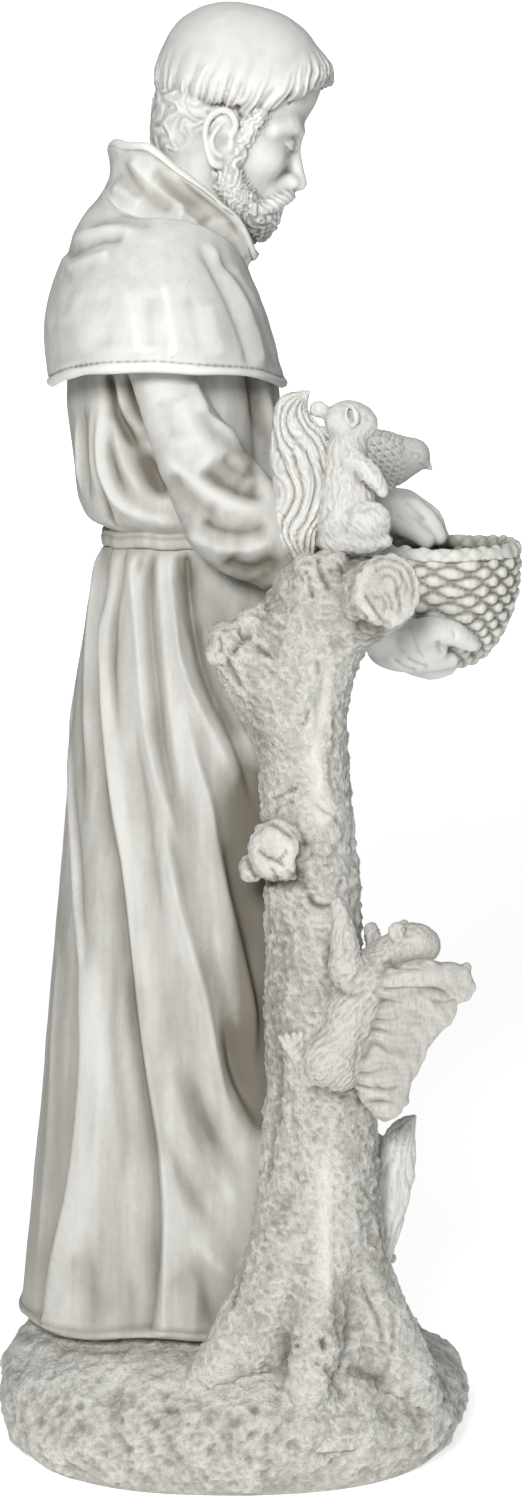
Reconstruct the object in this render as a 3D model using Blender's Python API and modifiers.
# Garden statue: a tonsured friar in a belted habit and shoulder cape holds a round woven basket.
# A lopped tree stump stands at his right side, with one squirrel sitting on it, one climbing it and
# one behind it. A small bird perches on his left wrist. Everything stands on one rounded rock base,
# and the whole work is one casting.
#
# Metres, +Z up. +X is the way the friar faces, -Y is his right hand side (the stump's side).
# The origin is under the middle of the statue, on the plane that it stands on.

import math

import bmesh
import bpy
import numpy as np
from mathutils import Matrix, Vector

# ---------------------------------------------------------------- driving sizes
STATUE_HEIGHT = 1.270        # ground to crown
BASE_CENTRE = (-0.0262, -0.002)  # plan centre of the rock
BASE_HALF = (0.2115, 0.186)  # plan half sizes of the rock
BASE_TOP = 0.112             # height of the rock's crown
FIGURE_Y = 0.018             # the friar's middle plane
HEM_Z = 0.112
BELT_Z = 0.802
COLLAR_RIM = ((-0.122, 1.151), (-0.006, 1.056))    # (x, z) at the nape and at the throat
COLLAR_FOOT = ((-0.136, 1.094), (-0.016, 1.036))
COLLAR_THICK = 0.011
HEAD_CENTRE = (-0.022, 0.020, 1.2015)
HEAD_PITCH = math.radians(24)
HEAD_HEIGHT = 0.168          # crown to chin
BASKET_CENTRE = (0.152, 0.028)
BASKET_RIM_Z = 0.801
BASKET_R = 0.0735
BASKET_DEPTH = 0.106
BASKET_WALL = 0.009
STUMP_TOP_Z = 0.800
VOXEL = 0.0042               # size of the cells that fuse the forms into one skin
TRIANGLES = 9600             # of the finished solid

# Robe sections: height, back, front, half width.
ROBE = (
    (0.100, -0.216, 0.080, 0.131),
    (0.130, -0.2145, 0.078, 0.130),
    (0.250, -0.2035, 0.072, 0.123),
    (0.390, -0.1900, 0.064, 0.116),
    (0.530, -0.1775, 0.054, 0.109),
    (0.660, -0.1660, 0.042, 0.101),
    (0.720, -0.1575, 0.034, 0.096),
    (0.780, -0.1465, 0.026, 0.089),
    (0.802, -0.1390, 0.021, 0.083),
    (0.825, -0.1530, 0.030, 0.092),
    (0.850, -0.1605, 0.036, 0.098),
    (0.900, -0.1660, 0.036, 0.106),
    (0.940, -0.1690, 0.030, 0.112),
    (1.000, -0.1650, 0.012, 0.112),
    (1.050, -0.1500, -0.010, 0.085),
    (1.080, -0.1300, -0.028, 0.055),
)
# Cape sections: height, back, front, half width.
CAPE = (
    (0.925, -0.1840, 0.0235, 0.166),
    (0.955, -0.1860, 0.0185, 0.166),
    (0.990, -0.1875, 0.0090, 0.161),
    (1.020, -0.1830, -0.0010, 0.150),
    (1.045, -0.1740, -0.0110, 0.134),
    (1.070, -0.1620, -0.0190, 0.108),
    (1.092, -0.1480, -0.0240, 0.080),
    (1.112, -0.1320, -0.0300, 0.062),
)
# Skirt folds on the right side: angle from the front at five heights, then height of the ridge and
# its half width in degrees. The left side repeats them, turned a little.
FOLD_HEIGHTS = (0.780, 0.600, 0.400, 0.250, 0.110)
FOLDS = (
    ((166, 163, 160, 158, 156), 0.0060, 9),
    ((148, 146, 141, 137, 133), -0.0120, 7),
    ((139, 128, 115, 107, 102), 0.0085, 8),
    ((126, 114, 103, 97, 93), -0.0055, 6),
    ((118, 103, 90, 76, 62), 0.0080, 8),
    ((102, 89, 79, 68, 56), -0.0060, 6),
    ((93, 78, 66, 54, 45), 0.0100, 8),
    ((80, 66, 56, 45, 36), -0.0130, 8),
    ((64, 52, 42, 34, 27), 0.0090, 8),
    ((44, 36, 28, 22, 18), -0.0070, 8),
    ((22, 17, 13, 11, 10), 0.0070, 8),
)
# Blouse folds above the belt: angle at the belt and at the cape, ridge height, half width in degrees.
BLOUSE_FOLDS = (
    ((160, 156), 0.0050, 9),
    ((143, 138), -0.0060, 7),
    ((128, 122), 0.0060, 8),
    ((112, 110), -0.0060, 8),
    ((60, 62), 0.0050, 9),
    ((40, 44), -0.0050, 8),
    ((18, 22), 0.0050, 9),
)


# ---------------------------------------------------------------- form functions
def eased(table, z):
    """The table's columns at height z, with an eased blend between stations."""
    keys = [row[0] for row in table]
    z = min(max(z, keys[0]), keys[-1])
    for low, high in zip(table, table[1:]):
        if z <= high[0]:
            t = (z - low[0]) / (high[0] - low[0])
            return [a + (b - a) * t for a, b in zip(low[1:], high[1:])]
    return list(table[-1][1:])


def section_point(table, z, angle, power=2.25, extra=0.0):
    """A point on the outline of a section, at an angle from the front (+X) towards the left (+Y)."""
    back, front, half = eased(table, z)
    middle, along = (back + front) / 2, (front - back) / 2
    c, s = math.cos(angle), math.sin(angle)
    r = ((abs(c) / along) ** power + (abs(s) / half) ** power) ** (-1 / power)
    return Vector((middle + (r + extra) * c, FIGURE_Y + (r + extra) * s, z))


def smooth(t):
    t = min(max(t, 0.0), 1.0)
    return t * t * (3 - 2 * t)


def robe_relief(angle, z):
    """How far the drapery stands out at this place."""
    side = math.degrees(angle) % 360
    near = side > 180
    a = 360 - side if near else side + 5.0
    out = 0.0
    if z < BELT_Z:
        grow = 0.35 + 0.65 * smooth((0.79 - z) / 0.30)
        for angles, height, width in FOLDS:
            at = np.interp(-z, [-h for h in FOLD_HEIGHTS], angles)
            out += height * grow * math.exp(-(((a - at) / width) ** 2))
    else:
        grow = smooth((z - BELT_Z) / 0.02)
        for angles, height, width in BLOUSE_FOLDS:
            at = np.interp(z, (BELT_Z, 0.95), angles)
            out += height * grow * math.exp(-(((a - at) / width) ** 2))
    return out


def hem_of_cape(angle):
    """The cape hangs lower at the back and the front than over the arms."""
    return 0.941 + 0.021 * math.sin(angle) ** 2


# ---------------------------------------------------------------- modelling tools
def clear_scene():
    for obj in list(bpy.data.objects):
        bpy.data.objects.remove(obj, do_unlink=True)


def link(obj, collection):
    collection.objects.link(obj)
    return obj


def loft(name, rings, close_ends=True, closed_loop=False):
    """A skin through rings of equal length, such as the sections of a robe."""
    bm = bmesh.new()
    made = [[bm.verts.new(p) for p in ring] for ring in rings]
    pairs = list(zip(made, made[1:]))
    if closed_loop:
        pairs.append((made[-1], made[0]))
    for low, high in pairs:
        count = len(low)
        for i in range(count):
            bm.faces.new((low[i], low[(i + 1) % count], high[(i + 1) % count], high[i]))
    if close_ends and not closed_loop:
        bm.faces.new(list(reversed(made[0])))
        bm.faces.new(made[-1])
    bmesh.ops.recalc_face_normals(bm, faces=bm.faces)
    mesh = bpy.data.meshes.new(name)
    bm.to_mesh(mesh)
    bm.free()
    return link(bpy.data.objects.new(name, mesh), forms)


def ball(name, centre, radii, turn=(0, 0, 0), segments=24):
    """An ellipsoid: a UV sphere with its own radii, turned in degrees about X, Y and Z."""
    bm = bmesh.new()
    bmesh.ops.create_uvsphere(bm, u_segments=segments, v_segments=segments // 2, radius=1.0)
    turning = Matrix.Rotation(math.radians(turn[2]), 4, "Z") @ Matrix.Rotation(math.radians(turn[1]), 4, "Y") @ Matrix.Rotation(math.radians(turn[0]), 4, "X")
    bmesh.ops.transform(bm, matrix=Matrix.Translation(centre) @ turning @ Matrix.Diagonal((*radii, 1)), verts=bm.verts)
    mesh = bpy.data.meshes.new(name)
    bm.to_mesh(mesh)
    bm.free()
    return link(bpy.data.objects.new(name, mesh), forms)


def tube(name, points, radii, flat=None):
    """A round limb along points, its radius given at each one. It starts as a bevelled curve with
    filled caps and is made a mesh. flat = (centre, direction, factor) presses it flat along a direction."""
    curve = bpy.data.curves.new(name, "CURVE")
    curve.dimensions = "3D"
    curve.bevel_depth = 1.0
    curve.bevel_resolution = 4
    curve.use_fill_caps = True
    curve.resolution_u = 6
    spline = curve.splines.new("NURBS")
    spline.points.add(len(points) - 1)
    spline.order_u = min(4, len(points))
    spline.use_endpoint_u = True
    for point, co, radius in zip(spline.points, points, radii):
        point.co = (*co, 1.0)
        point.radius = radius
    obj = link(bpy.data.objects.new(name + "_line", curve), forms)
    graph = bpy.context.evaluated_depsgraph_get()
    mesh = bpy.data.meshes.new_from_object(obj.evaluated_get(graph))
    matrix = obj.matrix_world.copy()
    bpy.data.objects.remove(obj, do_unlink=True)
    bm = bmesh.new()
    bm.from_mesh(mesh)
    bmesh.ops.remove_doubles(bm, verts=bm.verts, dist=0.00001)
    if flat:
        centre, direction, factor = Vector(flat[0]), Vector(flat[1]).normalized(), flat[2]
        for v in bm.verts:
            v.co -= direction * (v.co - centre).dot(direction) * (1 - factor)
    bmesh.ops.recalc_face_normals(bm, faces=bm.faces)
    bm.to_mesh(mesh)
    bm.free()
    made = link(bpy.data.objects.new(name, mesh), forms)
    made.matrix_world = matrix
    return made


def in_head(x, y, z):
    """A point of the head's own frame (x towards the face, z towards the crown) in the statue's frame."""
    c, s = math.cos(HEAD_PITCH), math.sin(HEAD_PITCH)
    return (HEAD_CENTRE[0] + c * x + s * z, HEAD_CENTRE[1] + y, HEAD_CENTRE[2] - s * x + c * z)


# ---------------------------------------------------------------- the forms
def build_base():
    """The rock: rings of a rounded plan that swell above the ground and close over the top."""
    rings, count = [], 72
    profile = ((-0.030, 0.955), (0.000, 0.955), (0.018, 0.985), (0.040, 1.000), (0.062, 0.985), (0.082, 0.940),
               (0.097, 0.860), (0.106, 0.740), (0.112, 0.560), (0.114, 0.300), (0.115, 0.060))
    for z, share in profile:
        ring = []
        for i in range(count):
            a = 2 * math.pi * i / count
            c, s = math.cos(a), math.sin(a)
            r = ((abs(c) / BASE_HALF[0]) ** 2.35 + (abs(s) / BASE_HALF[1]) ** 2.35) ** (-1 / 2.35)
            lumps = 1 + 0.012 * math.sin(3 * a + 1.0) + 0.010 * math.sin(5 * a + 2.1 + 9 * z) + 0.006 * math.sin(9 * a + 30 * z)
            ring.append(Vector((BASE_CENTRE[0] + r * share * lumps * c, BASE_CENTRE[1] + r * share * lumps * s, z)))
        rings.append(ring)
    loft("rock", rings)


def build_robe():
    rings, count = [], 120
    heights = [HEM_Z + (1.082 - HEM_Z) * i / 60 for i in range(61)]
    for z in heights:
        ring = []
        for i in range(count):
            angle = 2 * math.pi * i / count
            ring.append(section_point(ROBE, z, angle, extra=robe_relief(angle, z)))
        rings.append(ring)
    loft("habit", rings)
    # rope girdle round the waist
    rings = []
    for i in range(72):
        angle = 2 * math.pi * i / 72
        at = section_point(ROBE, BELT_Z, angle, extra=0.002)
        outward = Vector((math.cos(angle), math.sin(angle), 0))
        rings.append([at + outward * (0.006 * math.cos(t)) + Vector((0, 0, 0.0085 * math.sin(t))) for t in (2 * math.pi * k / 10 for k in range(10))])
    loft("girdle", rings, closed_loop=True)


def build_cape():
    rings, count = [], 96
    for k in range(25):
        ring = []
        for i in range(count):
            angle = 2 * math.pi * i / count
            bottom = hem_of_cape(angle)
            z = bottom + (1.108 - bottom) * k / 24
            wave = 0.0022 * math.sin(5 * angle + 0.7) * (1 - k / 24)
            ring.append(section_point(CAPE, z, angle, extra=wave))
        rings.append(ring)
    loft("cape", rings)


def build_collar():
    """A wide standing collar: an oval band that leans forwards, highest at the nape."""
    (nape_x, nape_z), (throat_x, throat_z) = COLLAR_RIM
    (foot_bx, foot_bz), (foot_fx, foot_fz) = COLLAR_FOOT
    rings, count = [], 60
    for i in range(count):
        a = 2 * math.pi * i / count
        f = (1 + math.cos(a)) / 2        # 1 at the throat, 0 at the nape
        rim = Vector((nape_x + (throat_x - nape_x) * f, FIGURE_Y + 0.066 * math.sin(a), nape_z + (throat_z - nape_z) * f))
        foot = Vector((foot_bx + (foot_fx - foot_bx) * f, FIGURE_Y + 0.060 * math.sin(a), foot_bz + (foot_fz - foot_bz) * f - 0.012))
        centre = Vector(((nape_x + throat_x) / 2, FIGURE_Y, (nape_z + throat_z) / 2 - 0.03))
        inward = (centre - rim)
        inward.z = 0
        inward.normalize()
        t = inward * COLLAR_THICK
        rings.append([foot, foot.lerp(rim, 0.5) - inward * 0.002, rim, rim + t, foot.lerp(rim, 0.5) + t, foot + t * 1.5])
    loft("collar", rings, closed_loop=True)


def build_head():
    half = HEAD_HEIGHT / 2
    pitch = math.degrees(HEAD_PITCH)
    ball("skull", in_head(0, 0, 0), (0.0715, 0.0595, 0.0670), (0, pitch, 0), 32)
    ball("face", in_head(0.024, 0, -0.036), (0.0430, 0.0460, 0.0560), (0, pitch, 0))
    ball("jaw", in_head(0.030, 0, -0.070), (0.0330, 0.0370, 0.0300), (0, pitch, 0))
    ball("beard", in_head(0.044, 0, -0.088), (0.0260, 0.0300, 0.0260), (0, pitch - 20, 0))
    ball("beard_tip", in_head(0.058, 0, -0.102), (0.0170, 0.0200, 0.0190), (0, pitch - 30, 0))
    tube("nose", [in_head(0.062, 0, -0.018), in_head(0.070, 0, -0.036), in_head(0.075, 0, -0.047), in_head(0.064, 0, -0.053)], [0.006, 0.007, 0.009, 0.008])
    ball("brow", in_head(0.056, 0, -0.012), (0.0120, 0.0340, 0.0080), (0, pitch, 0))
    tube("neck", [(-0.058, 0.019, 1.06), (-0.052, 0.019, 1.11), (-0.040, 0.020, 1.165)], [0.048, 0.046, 0.048])
    for side in (-1, 1):
        ball("ear", in_head(0.002, side * 0.060, -0.036), (0.012, 0.006, 0.021), (0, pitch, side * 12))
    # fringe of hair round the bald crown
    rings = []
    for i in range(48):
        a = 2 * math.pi * i / 48
        c, s = math.cos(a), math.sin(a)
        drop = -0.018 + 0.026 * c - 0.004 * (1 - abs(c))
        rings.append([in_head((0.0665 + 0.0075 * math.cos(t)) * c, (0.0555 + 0.0070 * math.cos(t)) * s, drop + 0.018 * math.sin(t)) for t in (2 * math.pi * k / 10 for k in range(10))])
    loft("fringe", rings, closed_loop=True)
    ball("nape_hair", in_head(-0.034, 0, -0.036), (0.026, 0.043, 0.032), (0, pitch, 0))


def build_arms():
    right = [(-0.092, -0.078, 1.000), (-0.062, -0.098, 0.930), (-0.034, -0.112, 0.860), (-0.006, -0.108, 0.808), (0.030, -0.088, 0.786), (0.064, -0.066, 0.766)]
    tube("right_sleeve", right, [0.040, 0.046, 0.051, 0.052, 0.046, 0.039])
    tube("right_wrist", [(0.050, -0.072, 0.762), (0.085, -0.052, 0.728), (0.115, -0.040, 0.712)], [0.022, 0.019, 0.017])
    ball("right_palm", (0.128, -0.040, 0.704), (0.032, 0.026, 0.014), (12, 8, 12))
    for k in range(4):
        y = -0.056 + 0.017 * k
        tube("right_finger", [(0.142, y, 0.698), (0.168, y + 0.006, 0.693), (0.186, y + 0.014, 0.703)], [0.0085, 0.0080, 0.0070])
    tube("right_thumb", [(0.120, -0.060, 0.716), (0.146, -0.064, 0.724), (0.172, -0.058, 0.722)], [0.0120, 0.0100, 0.0080])
    left = [(-0.092, 0.112, 1.000), (-0.062, 0.130, 0.930), (-0.036, 0.136, 0.868), (-0.010, 0.132, 0.835), (0.032, 0.112, 0.840), (0.070, 0.092, 0.848)]
    tube("left_sleeve", left, [0.040, 0.045, 0.047, 0.046, 0.041, 0.035])
    tube("left_wrist", [(0.060, 0.098, 0.850), (0.095, 0.078, 0.850), (0.115, 0.066, 0.842)], [0.021, 0.018, 0.017])
    ball("left_palm", (0.126, 0.060, 0.832), (0.027, 0.024, 0.014), (0, 34, -20))
    for k in range(4):
        y = 0.078 - 0.014 * k
        tube("left_finger", [(0.138, y, 0.826), (0.155, y - 0.004, 0.806), (0.158, y - 0.008, 0.776)], [0.0082, 0.0078, 0.0068])
    tube("left_thumb", [(0.112, 0.042, 0.828), (0.126, 0.026, 0.808), (0.134, 0.020, 0.786)], [0.0100, 0.0090, 0.0075])


def build_basket():
    """A turned bowl with a wall of even thickness: the profile runs down outside and up inside."""
    outer = [(BASKET_R * r, -BASKET_DEPTH * d) for r, d in ((1.00, 0.0), (1.01, 0.18), (0.985, 0.38), (0.92, 0.56), (0.80, 0.74), (0.62, 0.90), (0.40, 0.985), (0.0, 1.0))]
    inner = [(max(r - BASKET_WALL, 0.0), z + BASKET_WALL * (0 if k == 0 else min(1.0, k / 4))) for k, (r, z) in enumerate(outer)]
    profile = outer + inner[::-1]
    mesh = bpy.data.meshes.new("basket_profile")
    mesh.from_pydata([(r, 0, z) for r, z in profile], [(i, i + 1) for i in range(len(profile) - 1)] + [(len(profile) - 1, 0)], [])
    obj = link(bpy.data.objects.new("basket", mesh), forms)
    obj.location = (*BASKET_CENTRE, BASKET_RIM_Z)
    turn = obj.modifiers.new("turn", "SCREW")
    turn.steps = turn.render_steps = 48
    turn.use_merge_vertices = True
    turn.merge_threshold = 0.00005


def build_stump():
    trunk = [(0.050, -0.100, 0.050, 0.074), (0.049, -0.106, 0.120, 0.068), (0.048, -0.112, 0.200, 0.056), (0.052, -0.113, 0.310, 0.048),
             (0.044, -0.113, 0.410, 0.0415), (0.043, -0.113, 0.500, 0.0400), (0.043, -0.113, 0.580, 0.0380), (0.038, -0.113, 0.655, 0.0380), (0.032, -0.114, 0.710, 0.0450), (0.040, -0.116, 0.760, 0.0420)]
    tube("trunk", [p[:3] for p in trunk], [p[3] for p in trunk])
    tube("bough", [(0.024, -0.112, 0.700), (0.052, -0.116, 0.745), (0.082, -0.130, 0.766), (0.108, -0.152, 0.775)], [0.042, 0.040, 0.037, 0.0325])
    ball("perch", (0.062, -0.118, 0.775), (0.044, 0.036, 0.026), (0, -4, 0))
    tube("side_stub", [(0.016, -0.116, 0.705), (-0.014, -0.124, 0.725), (-0.030, -0.128, 0.742)], [0.036, 0.028, 0.021])
    ball("side_knot", (0.000, -0.122, 0.752), (0.017, 0.015, 0.017))
    ball("top_knot", (0.037, -0.146, 0.790), (0.015, 0.014, 0.016))
    tube("mid_stub", [(0.030, -0.116, 0.548), (0.014, -0.150, 0.556)], [0.028, 0.026])
    for root in (
        [(0.034, -0.106, 0.290, 0.026), (0.012, -0.122, 0.215, 0.036), (-0.018, -0.136, 0.150, 0.030), (-0.046, -0.146, 0.104, 0.020), (-0.062, -0.146, 0.060, 0.012)],
        [(0.052, -0.104, 0.290, 0.026), (0.050, -0.126, 0.210, 0.034), (0.053, -0.146, 0.140, 0.026), (0.058, -0.158, 0.088, 0.020), (0.060, -0.160, 0.040, 0.015)],
        [(0.062, -0.104, 0.290, 0.026), (0.078, -0.108, 0.215, 0.036), (0.106, -0.108, 0.145, 0.034), (0.140, -0.100, 0.090, 0.027), (0.156, -0.094, 0.045, 0.016)],
        [(0.056, -0.096, 0.280, 0.022), (0.066, -0.078, 0.210, 0.030), (0.084, -0.052, 0.140, 0.026), (0.105, -0.030, 0.090, 0.018), (0.116, -0.020, 0.060, 0.012)],
    ):
        tube("root", [p[:3] for p in root], [p[3] for p in root])


def build_squirrels():
    # sitting on the stump, its back to the stump's left
    ball("sitter_body", (0.078, -0.120, 0.838), (0.029, 0.026, 0.036), (0, -8, 0))
    ball("sitter_chest", (0.074, -0.120, 0.872), (0.020, 0.019, 0.030), (0, -4, 0))
    ball("sitter_head", (0.078, -0.118, 0.915), (0.023, 0.019, 0.018), (0, -6, 0))
    ball("sitter_snout", (0.096, -0.112, 0.912), (0.011, 0.010, 0.009))
    ball("sitter_thigh", (0.090, -0.134, 0.822), (0.023, 0.016, 0.021))
    ball("sitter_thigh", (0.090, -0.104, 0.822), (0.023, 0.016, 0.021))
    ball("sitter_foot", (0.104, -0.130, 0.804), (0.018, 0.009, 0.006))
    tube("sitter_arm", [(0.078, -0.138, 0.888), (0.090, -0.144, 0.872), (0.104, -0.140, 0.862)], [0.010, 0.009, 0.007])
    tube("sitter_arm", [(0.078, -0.102, 0.888), (0.092, -0.098, 0.874), (0.104, -0.104, 0.864)], [0.010, 0.009, 0.007])
    ball("sitter_ear", (0.050, -0.122, 0.928), (0.008, 0.006, 0.008))
    ball("sitter_ear", (0.074, -0.137, 0.928), (0.006, 0.005, 0.009))
    for centre, radii, turn in (((0.044, -0.116, 0.810), (0.016, 0.016, 0.020), 0), ((0.028, -0.116, 0.838), (0.024, 0.017, 0.034), -6),
                                ((0.026, -0.116, 0.876), (0.026, 0.017, 0.036), 4), ((0.028, -0.116, 0.910), (0.020, 0.014, 0.028), 14), ((0.034, -0.116, 0.930), (0.008, 0.007, 0.017), 22)):
        ball("sitter_tail", centre, radii, (0, turn, 0))
    # climbing the stump
    ball("climber_body", (0.068, -0.146, 0.402), (0.028, 0.023, 0.046), (0, 22, 0))
    ball("climber_shoulder", (0.088, -0.140, 0.440), (0.026, 0.021, 0.026))
    ball("climber_rump", (0.054, -0.150, 0.374), (0.026, 0.021, 0.026))
    ball("climber_head", (0.118, -0.128, 0.466), (0.026, 0.019, 0.019), (0, -20, 0))
    ball("climber_snout", (0.136, -0.124, 0.478), (0.013, 0.011, 0.010))
    ball("climber_ear", (0.106, -0.142, 0.484), (0.007, 0.005, 0.009))
    ball("climber_ear", (0.106, -0.112, 0.484), (0.007, 0.005, 0.009))
    tube("climber_arm", [(0.082, -0.152, 0.440), (0.070, -0.158, 0.458), (0.070, -0.157, 0.508)], [0.014, 0.011, 0.007])
    tube("climber_arm", [(0.092, -0.124, 0.448), (0.092, -0.112, 0.470), (0.087, -0.106, 0.482)], [0.010, 0.009, 0.007])
    tube("climber_leg", [(0.056, -0.160, 0.378), (0.038, -0.164, 0.366), (0.024, -0.158, 0.394)], [0.014, 0.009, 0.006])
    for centre, radii, turn in (((0.104, -0.150, 0.352), (0.027, 0.014, 0.026), 0), ((0.112, -0.152, 0.388), (0.036, 0.014, 0.040), 20),
                                ((0.128, -0.152, 0.424), (0.040, 0.014, 0.034), 20), ((0.152, -0.150, 0.448), (0.036, 0.012, 0.016), -8)):
        ball("climber_tail", centre, radii, (0, turn, 0))
    # behind the stump, only its tail standing clear
    ball("hider_body", (0.092, -0.050, 0.205), (0.026, 0.024, 0.040))
    ball("hider_chest", (0.090, -0.046, 0.245), (0.020, 0.019, 0.026))
    ball("hider_head", (0.092, -0.038, 0.280), (0.017, 0.023, 0.017))
    for centre, radii, turn in (((0.108, -0.066, 0.178), (0.014, 0.014, 0.030), 4), ((0.116, -0.068, 0.215), (0.017, 0.014, 0.036), 8),
                                ((0.121, -0.068, 0.250), (0.014, 0.013, 0.032), 4), ((0.124, -0.068, 0.276), (0.009, 0.010, 0.018), -10)):
        ball("hider_tail", centre, radii, (0, turn, 0))


def build_bird():
    ball("bird_body", (0.112, 0.072, 0.872), (0.034, 0.020, 0.021), (0, 14, 0))
    ball("bird_head", (0.136, 0.072, 0.883), (0.0155, 0.0140, 0.0145))
    ball("bird_beak", (0.148, 0.072, 0.872), (0.0080, 0.0045, 0.0045), (0, 40, 0))
    ball("bird_tail", (0.070, 0.076, 0.885), (0.026, 0.009, 0.006), (0, 18, 0))


def build_feet():
    for y in (-0.022, 0.074):
        ball("foot", (0.078, y, 0.118), (0.036, 0.021, 0.015), (0, 6, 0))


# ---------------------------------------------------------------- one casting
def fused(name):
    """All forms as one skin: joined, remeshed into one surface, thinned out and cut flat underneath."""
    graph = bpy.context.evaluated_depsgraph_get()
    bm = bmesh.new()
    for obj in sorted(forms.objects, key=lambda o: o.name):
        mesh = bpy.data.meshes.new_from_object(obj.evaluated_get(graph))
        mesh.transform(obj.matrix_world)
        bm.from_mesh(mesh)
        bpy.data.meshes.remove(mesh)
    whole = bpy.data.meshes.new(name)
    bm.to_mesh(whole)
    bm.free()
    obj = bpy.data.objects.new(name, whole)
    statue.objects.link(obj)
    skin = obj.modifiers.new("one_skin", "REMESH")
    skin.mode = "VOXEL"
    skin.voxel_size = VOXEL
    soften = obj.modifiers.new("soften", "SMOOTH")
    soften.factor = 0.5
    soften.iterations = 3
    replace_by_result(obj)
    keep_largest(obj)
    count = sum(len(p.vertices) - 2 for p in obj.data.polygons)
    thin = obj.modifiers.new("thin_out", "DECIMATE")
    thin.ratio = TRIANGLES / count
    replace_by_result(obj)
    cut_flat(obj)
    return obj


def replace_by_result(obj):
    graph = bpy.context.evaluated_depsgraph_get()
    graph.update()
    mesh = bpy.data.meshes.new_from_object(obj.evaluated_get(graph))
    obj.modifiers.clear()
    obj.data = mesh


def keep_largest(obj):
    """Leaves out the skins of sealed pockets between the forms."""
    bm = bmesh.new()
    bm.from_mesh(obj.data)
    bm.verts.ensure_lookup_table()
    seen, groups = set(), []
    for start in bm.verts:
        if start.index in seen:
            continue
        group, stack = [], [start]
        seen.add(start.index)
        while stack:
            v = stack.pop()
            group.append(v)
            for e in v.link_edges:
                w = e.other_vert(v)
                if w.index not in seen:
                    seen.add(w.index)
                    stack.append(w)
        groups.append(group)
    groups.sort(key=len)
    for group in groups[:-1]:
        bmesh.ops.delete(bm, geom=group, context="VERTS")
    bm.to_mesh(obj.data)
    bm.free()


def cut_flat(obj):
    """Cuts the underside flat, sets the height, and puts the origin under the middle of the statue."""
    bm = bmesh.new()
    bm.from_mesh(obj.data)
    cut = bmesh.ops.bisect_plane(bm, geom=bm.verts[:] + bm.edges[:] + bm.faces[:], plane_co=(0, 0, 0), plane_no=(0, 0, 1), clear_inner=True)
    edges = [e for e in cut["geom_cut"] if isinstance(e, bmesh.types.BMEdge)]
    bmesh.ops.edgeloop_fill(bm, edges=edges)
    bmesh.ops.triangulate(bm, faces=bm.faces[:])
    bmesh.ops.recalc_face_normals(bm, faces=bm.faces)
    co = np.array([v.co for v in bm.verts])
    low, high = co.min(0), co.max(0)
    shift = Vector((-(low[0] + high[0]) / 2, -(low[1] + high[1]) / 2, 0))
    scale = STATUE_HEIGHT / high[2]
    for v in bm.verts:
        v.co += shift
        v.co.z *= scale
    for v in bm.verts:
        if v.co.z < 0.00002:
            v.co.z = 0.0
    bm.to_mesh(obj.data)
    bm.free()
    print("shift", tuple(round(x, 5) for x in shift), "height factor", round(float(scale), 5))


def stone_material():
    """Pale antique stone finish on cast resin."""
    material = bpy.data.materials.new("antique_stone_resin")
    material.use_nodes = True
    shader = material.node_tree.nodes["Principled BSDF"]
    shader.inputs["Base Color"].default_value = (0.66, 0.65, 0.62, 1)
    shader.inputs["Roughness"].default_value = 0.72
    shader.inputs["Metallic"].default_value = 0.0
    return material


clear_scene()
statue = bpy.data.collections.new("friar_statue")
bpy.context.scene.collection.children.link(statue)
forms = bpy.data.collections.new("forms")
bpy.context.scene.collection.children.link(forms)
build_base()
build_robe()
build_cape()
build_collar()
build_head()
build_arms()
build_basket()
build_stump()
build_squirrels()
build_bird()
build_feet()
whole = fused("friar_statue")
for form in list(forms.objects):
    bpy.data.objects.remove(form, do_unlink=True)
bpy.data.collections.remove(forms)
whole.data.materials.clear()
whole.data.materials.append(stone_material())
whole.data.shade_smooth()
whole.data.set_sharp_from_angle(angle=math.radians(50))
